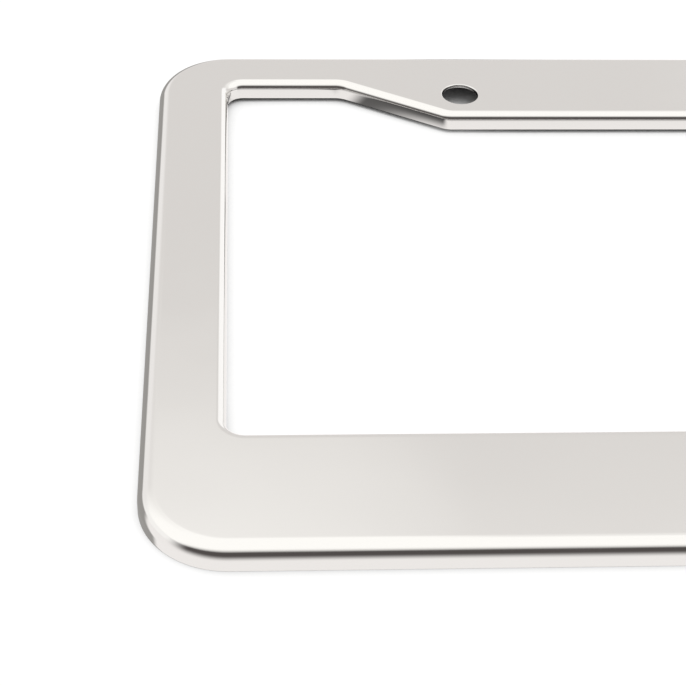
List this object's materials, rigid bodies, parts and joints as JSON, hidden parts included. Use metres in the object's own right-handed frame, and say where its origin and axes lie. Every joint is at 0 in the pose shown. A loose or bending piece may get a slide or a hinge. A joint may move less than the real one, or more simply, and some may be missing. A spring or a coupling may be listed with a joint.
{
  "type": "number plate frame",
  "caption": "Flat rectangular frame pressed from polished sheet steel, with turned-down edges and screw holes in its top bar, that holds a number plate by its rim.",
  "frame": {"origin": "under the middle of the outline, at the back edge that lies against the vehicle", "axes": "+X along the frame's width, +Y towards its top bar, +Z out of its face"},
  "size_m": [0.3136, 0.1604, 0.005],
  "materials": {
    "polished_steel": "mirror polished"
  },
  "bodies": {
    "root": {"plate_frame": "polished_steel"}
  },
  "joints": []
}
